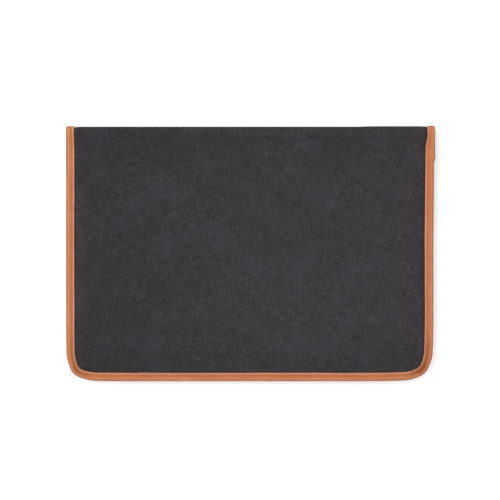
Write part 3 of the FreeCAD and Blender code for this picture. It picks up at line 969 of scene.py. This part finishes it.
def body_seam():
    places, inward, low_share, run = u_line(HALF_W, BOTTOM_Y, MOUTH_Y)
    on_left = places[:, 0] < 0
    width = np.where(on_left, LEFT_W, RIGHT_W)
    row = np.where(on_left, LEFT_ROW, RIGHT_ROW)
    climb = np.clip(places[:, 1] - BOTTOM_Y - CORNER_R, 0, None)
    up_the_side = 0.5 * np.exp(-(climb / (14 * MM)) ** 2) * (low_share < 0.5)
    # Darker at the lower corners and a little way up the sides, more on the right
    burnish = np.maximum(4 * low_share * (1 - low_share), up_the_side) * np.where(on_left, 1.0, 1.6)
    return seam(
        run, origin=level(places, SEAM_Z), inward=level(inward, 0.0), up=(0.0, 0.0, 1.0),
        width=width + (BOTTOM_W - width) * low_share, half=BINDING_HALF, ply=SEAM_PLIES,
        row=row + (BOTTOM_ROW - row) * low_share, burnish=burnish,
    )


FOLD_R = EDGE_TOP_Z / 2  # outer radius of the leather round the fold's bound ends
FOLD_Y = TIP_Y - FOLD_R
TIP_THICK = 3.5 * MM
STRIP_REACH = 0.9 * MM  # the strip stands this much past the canvas at the tip


def fold_seam(side, upper):
    """The strip beside the fold: the back's from the mouth to the tip, or the flap's from the turn."""
    arc = math.pi / 2 * FOLD_R
    start_y = MOUTH_Y - UPPER_OVERLAP if upper else TURN_Y
    straight = FOLD_Y - start_y
    total = straight + arc
    run = np.linspace(0, total, int(round(total / STATION)) + 1)
    run = np.insert(run, -1, total - 0.1 * MM)
    turn = np.clip((run - straight) / FOLD_R, 0, math.pi / 2)
    flat_y = np.where(run < straight, start_y + run, FOLD_Y)
    sign = 1.0 if upper else -1.0
    up = np.column_stack((np.zeros(len(run)), np.sin(turn), sign * np.cos(turn)))
    plain = EDGE_THICK if upper else FLAP_THICK - 2 * FLAP_EASE
    plain_ply = SEAM_PLIES if upper else FLAP_PLIES
    share = smooth(turn / (math.pi / 2))
    thick = plain + (TIP_THICK - plain) * share
    ply = plain_ply + (TIP_THICK - 2 * LEATHER - plain_ply) * share
    lift = STRIP_REACH * share
    if upper:
        lift = lift + 0.14 * MM * smooth(1 - run / (6 * MM)) + 0.04 * MM
    face_y = flat_y + (FOLD_R + lift) * up[:, 1]
    face_z = FOLD_R + (FOLD_R + lift) * up[:, 2]
    sunk = thick / 2 + (0.0 if upper else FLAP_EASE)
    lines = (upper_edge, upper_lip) if upper else (flap_edge, flap_lip)
    edge, lip = (line(side, face_y) for line in lines)
    origin = np.column_stack((side * edge, face_y - up[:, 1] * sunk, face_z - up[:, 2] * sunk))
    return seam(
        run, origin=origin, inward=(-side, 0.0, 0.0), up=up,
        width=edge - lip, half=thick / 2, ply=ply / 2, nose=NOSE + (TIP_NOSE - NOSE) * share,
        row=UPPER_ROW if upper else FLAP_ROW + (UPPER_ROW - FLAP_ROW) * share,
    )


def flap_seam():
    places, inward, low_share, run = u_line(FLAP_HALF_W, FLAP_LOW_Y, TURN_Y)
    y = places[:, 1]
    side = np.where(places[:, 0] < 0, -1, 1)
    edge_shift = np.where(side < 0, flap_edge(-1, y), flap_edge(1, y)) - FLAP_HALF_W
    lip = np.where(side < 0, flap_lip(-1, y), flap_lip(1, y))
    origin = level(places, FLAP_THICK / 2)
    origin[:, 0] += side * edge_shift * (1 - low_share)
    flat = seam(
        run, origin=origin, inward=level(inward, 0.0), up=(0.0, 0.0, -1.0),
        width=FLAP_W + (FLAP_HALF_W + edge_shift - lip - FLAP_W) * (1 - low_share),
        half=FLAP_THICK / 2 - FLAP_EASE, ply=FLAP_PLIES / 2, row=FLAP_ROW,
        # darker at the flap's lower corners
        burnish=4 * low_share * (1 - low_share),
    )
    return joined((backwards(fold_seam(-1, False)), flat, fold_seam(1, False)))


def mouth_seam():
    """Row of stitches that holds the hem, on the front canvas."""
    run = np.linspace(0, 2 * (HALF_W - 20 * MM), 200)
    thick = 2 * HEM_R + 2 * HEM_SWELL
    half = thick / 2 + 0.22 * MM
    across = np.column_stack((run - run[-1] / 2, np.full(len(run), MOUTH_Y - 3 * MM)))
    return seam(
        run, origin=level(across, FRONT_Z + thick / 2),
        inward=(0.0, 1.0, 0.0), up=(0.0, 0.0, -1.0), width=half, half=half, ply=half, row=0.0, nose=0.0,
    )


# ======== build: canvas, padding and lining
class Panel:
    """A panel's outer face: its flat grid, then rows beyond it, round the fold or the hem. facing is 1
    where the face looks up, -1 where it looks down. share rises to 1 over the rows beyond."""

    def __init__(self, flat, depth, ring, facing, beyond=(), share=()):
        rows = (len(beyond), 1)
        self.flat, self.facing = flat, facing
        self.outer = np.concatenate((flat, beyond)) if len(beyond) else flat
        self.depth = np.concatenate((depth, np.tile(depth[-1], rows)))
        self.ring = np.concatenate((ring, np.tile(ring[-1], rows)))
        self.share = np.concatenate((np.zeros(len(flat)), share))[:, None]
        self.normals = grid_normals(self.outer)

    def inwards(self, offset):
        """The outer face moved in through the panel."""
        return self.outer - self.facing * offset * self.normals

    def layer(self, flange, full, tip, seam_drop):
        """A layer in the panel: so far in at the flange, in the middle and at the fold's tip."""
        offset = np.where(self.ring < FOOT, flange, full)
        offset = offset + (tip - offset) * self.share
        grid = self.inwards(offset[..., None])
        grid[..., 2] -= seam_drop * (1 - self.depth) * (self.ring >= FOOT) * (1 - self.share)
        return grid

    def rows_below(self, y):
        middle = self.flat.shape[1] // 2
        return int(np.searchsorted(self.flat[:, middle, 1], y))

    def canvas(self, name, thick, cloth, rub):
        marks = {"cloth": cloth, "rub": rub, "painted_seam_shadow": painted_seam_shadow(self.depth)}
        return between(name, self.outer, self.inwards(thick), CANVAS_LOOK, marks)

    def lining(self, name, flange, full, seam_drop, cloth=None, rows=None):
        """The lining's outer grid, and the lining."""
        outer = self.layer(flange, full, TIP_LINING, seam_drop)
        inner = self.layer(flange + LINING, full + LINING, TIP_LINING + LINING, seam_drop)
        marks = {"cloth": (cloth_coordinates(outer) if cloth is None else cloth)[:rows]}
        return outer, between(name, outer[:rows], inner[:rows], LINING_LOOK, marks)

    def recessed(self, grid):
        """The padding's outer grid with pockets for the closure's two discs."""
        for side in (-1, 1):
            away = np.hypot(grid[..., 0] - side * MAGNET_X, grid[..., 1] - MAGNET_Y)
            deep = smooth((MAGNET_R + 3.5 * MM - away) / (2.5 * MM))[..., None]
            grid = grid - self.facing * deep * POCKET * self.normals
        return grid

    def padding(self, name, outer, inner, rows, columns):
        marks = {"cloth": self.outer[rows, columns]}
        return between(name, outer[rows, columns], inner[rows, columns], FOAM_LOOK, marks)


def rubbed(depth):
    """Where the cloth is rubbed along the shoulders."""
    return np.exp(-((depth - 0.8) / 0.18) ** 2)


def painted_seam_shadow(depth):
    """Painted shadow: a narrow dark line at the foot of the shoulder, beside the leather."""
    return smooth(1 - (1 - np.sqrt(np.clip(1 - depth ** 2, 0, 1))) / 0.22)


def folded_panel(flat, depth, ring, fold, facing):
    return Panel(flat, depth, ring, facing, fold, smooth(np.array(ROLL_SHARES)))


def folded_canvas(name, panel):
    """A panel's canvas with its half of the fold, which is rubbed too."""
    rows = len(panel.outer) - len(panel.flat)
    rub = rubbed(panel.depth)
    rub[-rows:] = rub[-rows:] * 0.5 + 0.3
    return panel.canvas(name, CANVAS, cloth_coordinates(panel.outer), rub)


back_flat, back_depth, back_ring, back_fold = back_surface()
flap_flat, flap_depth, flap_ring, flap_fold = flap_surface()
front_flat, front_depth, front_ring = front_surface()

held_y = TURN_Y - 3 * MM
back_flat = back_flat + settled(back_flat, back_depth, held_y, CLOTH_PUSH, 0.5 * MM, 0.5 * MM)
flap_flat = flap_flat + settled(flap_flat, flap_depth, held_y, -CLOTH_PUSH, 0.25 * MM, 0.3 * MM)
flap_flat[..., 2] = np.maximum(flap_flat[..., 2], 0)
# The front lies on the floor below the flap, and on the flap's lining above it.
room = (0.1 + 0.4 * smooth((FLAP_LOW_Y - 3 * MM - front_flat[..., 1]) / (8 * MM))) * MM
lowest = np.maximum(front_flat[..., 2] - room, 0)
front_cap = 0.4 * MM
front_flat = front_flat + settled(
    front_flat, front_depth, MOUTH_Y - HEM, -CLOTH_PUSH, front_cap, front_cap
)
front_flat[..., 2] = np.maximum(front_flat[..., 2], lowest)

back = folded_panel(back_flat, back_depth, back_ring, back_fold, 1)
folded_flap = folded_panel(flap_flat, flap_depth, flap_ring, flap_fold, -1)
canvas_back = folded_canvas("back_panel_canvas", back)
canvas_flap = folded_canvas("flap_panel_canvas", folded_flap)
stack = CANVAS + FOAM
flap_stack = FLAP_PLIES - LINING + FLAP_PUFF
back_inside, lining_back = back.lining("back_panel_lining", CANVAS, stack, LINING)
flap_inside, lining_flap = folded_flap.lining("flap_panel_lining", FLAP_PLIES - LINING, flap_stack, 0.0)

shoulders = slice(FOOT + 1, -FOOT - 1)  # columns from foot to foot
padding_back = back.padding(
    "back_panel_padding", back.inwards(CANVAS + HAIR), back_inside + HAIR * back.normals,
    slice(FOOT + 1, back.rows_below(TURN_Y - 4.5 * MM)), shoulders,
)
padding_flap = folded_flap.padding(
    "flap_panel_padding", folded_flap.recessed(folded_flap.inwards(CANVAS + HAIR)),
    flap_inside - HAIR * folded_flap.normals, slice(1, folded_flap.rows_below(held_y)), slice(1, -1),
)


# Front panel: the canvas turns over the padding along the mouth and runs on inside as a hem
def hem_rows(top_row, depth_row):
    radius = HEM_R + HEM_SWELL * depth_row
    turn = np.radians(np.arange(15, 181, 15))[:, None]
    y = top_row[:, 1] + radius * np.sin(turn)
    z = top_row[:, 2] + radius * (1 - np.cos(turn))
    down = (HEM - HEM_TURN) * np.linspace(0, 1, 6)[1:, None]
    y = np.concatenate((y, y[-1] - down))
    z = np.concatenate((z, np.tile(z[-1], (len(down), 1))))
    return np.stack((np.broadcast_to(top_row[:, 0], y.shape), y, z), -1)


def hem_cloth(points, flat_rows):
    """Place of each point on the flat cloth, with the hem's rows laid out beyond the flat ones."""
    run = np.cumsum(np.linalg.norm(np.diff(points[:, points.shape[1] // 2], axis=0), axis=1))
    out = points * (1.0, 1.0, 0.0)
    beyond = points[flat_rows - 1, 0, 1] + run[flat_rows - 1:] - run[flat_rows - 2]
    out[flat_rows:, :, 1] = beyond[:, None]
    return out


hem = hem_rows(front_flat[-1], front_depth[-1])
hemmed = Panel(front_flat, front_depth, front_ring, -1, hem, np.zeros(len(hem)))
canvas_front = hemmed.canvas(
    "front_panel_canvas", np.minimum(CANVAS, (0.5 + 0.6 * hemmed.depth) * MM)[..., None],
    hem_cloth(hemmed.outer, len(front_flat)), rubbed(hemmed.depth),
)
front = Panel(front_flat, front_depth, front_ring, -1)
lining_front = front.lining(
    "front_panel_lining", CANVAS, stack, -LINING, front_flat * (1.0, 1.0, 0.0),
    front.rows_below(MOUTH_Y - HEM - 0.2 * MM),
)[1]
under_hem = smooth((front_flat[..., 1] - (MOUTH_Y - HEM - 1 * MM)) / (2 * MM))[..., None]
padding_front = front.padding(
    "front_panel_padding", front.recessed(front.inwards(CANVAS + HAIR)),
    front.layer(CANVAS, stack - HAIR, 0.0, -LINING) - 0.45 * MM * under_hem * front.normals,
    slice(FOOT + 1, None), shoulders,
)

# ======== build: leather and stitches
body, flap, mouth = body_seam(), flap_seam(), mouth_seam()
left, right = fold_seam(-1, True), fold_seam(1, True)
body_leather = strip("body_leather", body)
left_leather = strip("left_edge_leather", left)
right_leather = strip("right_edge_leather", right)
flap_leather = strip("flap_leather", flap)
body_stitches = stitches("body_stitches", (body, 1), (body, -1))
edge_stitches = stitches("edge_stitches", (left, 1), (left, -1), (right, 1), (right, -1))
flap_stitches = stitches("flap_stitches", (flap, 1), (flap, -1))
mouth_stitches = stitches("mouth_stitches", (mouth, 1), (mouth, -1))

over_back, over_flap = ("sleeve", "fold"), ("fold", "flap")
for made, bodies, names, look in (
    (canvas_back, over_back, ("back_canvas", "fold_canvas"), "canvas"),
    (lining_back, over_back, ("back_lining", "fold_lining"), "lining"),
    (left_leather, over_back, ("edge_binding_left", "fold_binding_left"), "leather"),
    (right_leather, over_back, ("edge_binding_right", "fold_binding_right"), "leather"),
    (edge_stitches, over_back, ("edge_threads", "fold_threads"), "thread"),
    (canvas_flap, over_flap, ("flap_canvas",), "canvas"),
    (lining_flap, over_flap, ("flap_lining",), "lining"),
    (flap_leather, over_flap, ("flap_binding",), "leather"),
    (flap_stitches, over_flap, ("flap_needle_thread", "flap_bobbin_thread"), "thread"),
    (canvas_front, ("sleeve",), ("front_canvas",), "canvas"),
    (lining_front, ("sleeve",), ("front_lining",), "lining"),
    (padding_back, ("sleeve",), ("back_foam",), "foam"),
    (padding_front, ("sleeve",), ("front_foam",), "foam"),
    (padding_flap, ("flap",), ("flap_padding",), "foam"),
    (body_leather, ("sleeve",), ("body_binding",), "leather"),
    (body_stitches, ("sleeve",), ("body_needle_thread", "body_bobbin_thread"), "thread"),
    (mouth_stitches, ("sleeve",), ("mouth_thread",), "thread"),
):
    if bodies == over_back:
        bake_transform(made)
    elif bodies == over_flap:
        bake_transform(made)
    else:
        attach(made, *bodies)
    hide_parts(*names)

for name in ("front_magnets", "flap_magnets"):
    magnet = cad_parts[name]
    if not magnet.data.materials:
        magnet.data.materials.append(MAGNET_LOOK)
    for place in magnet.material_slots:
        place.material = MAGNET_LOOK


# ======== floor, light and camera
def studio():
    mesh = bpy.data.meshes.new("studio_floor")
    reach = 150.0
    corners = [(-reach, -reach, 0), (reach, -reach, 0), (reach, reach, 0), (-reach, reach, 0)]
    mesh.from_pydata(corners, [], [(0, 1, 2, 3)])
    mesh.materials.append(floor_material())
    floor = placed("studio_floor", mesh)
    floor.location.z = -0.05 * MM

    world = bpy.data.worlds.new("studio_light")
    world.use_nodes = True
    sky = world.node_tree.nodes["Background"]
    sky.inputs["Color"].default_value = (1.0, 1.0, 1.0, 1.0)
    sky.inputs["Strength"].default_value = 1.06
    bpy.context.scene.world = world

    key = bpy.data.lights.new("key_light", "AREA")
    key.shape = "DISK"
    key.size = 1.5
    key.energy = 29.0
    key_object = placed("key_light", key)
    key_object.location = (-1.3, 0.75, 2.3)
    aim = -key_object.location.normalized()
    key_object.rotation_mode = "QUATERNION"
    key_object.rotation_quaternion = aim.to_track_quat("-Z", "Y")

    lens = bpy.data.cameras.new("camera")
    lens.type = "PERSP"
    lens.lens = 85.0
    lens.sensor_width = 36.0
    view_width = 0.4688  # metres across the picture at the height of the seam
    distance = view_width * lens.lens / lens.sensor_width
    camera = placed("camera", lens)
    camera.location = (0.23 * MM, 3.7 * MM, EDGE_TOP_Z + distance)
    camera.rotation_euler = (0.0, 0.0, 0.0)
    lens.clip_start = 0.05
    lens.clip_end = 600.0
    bpy.context.scene.camera = camera

    settings = bpy.context.scene.view_settings
    settings.view_transform = "Standard"
    settings.look = "None"


studio()
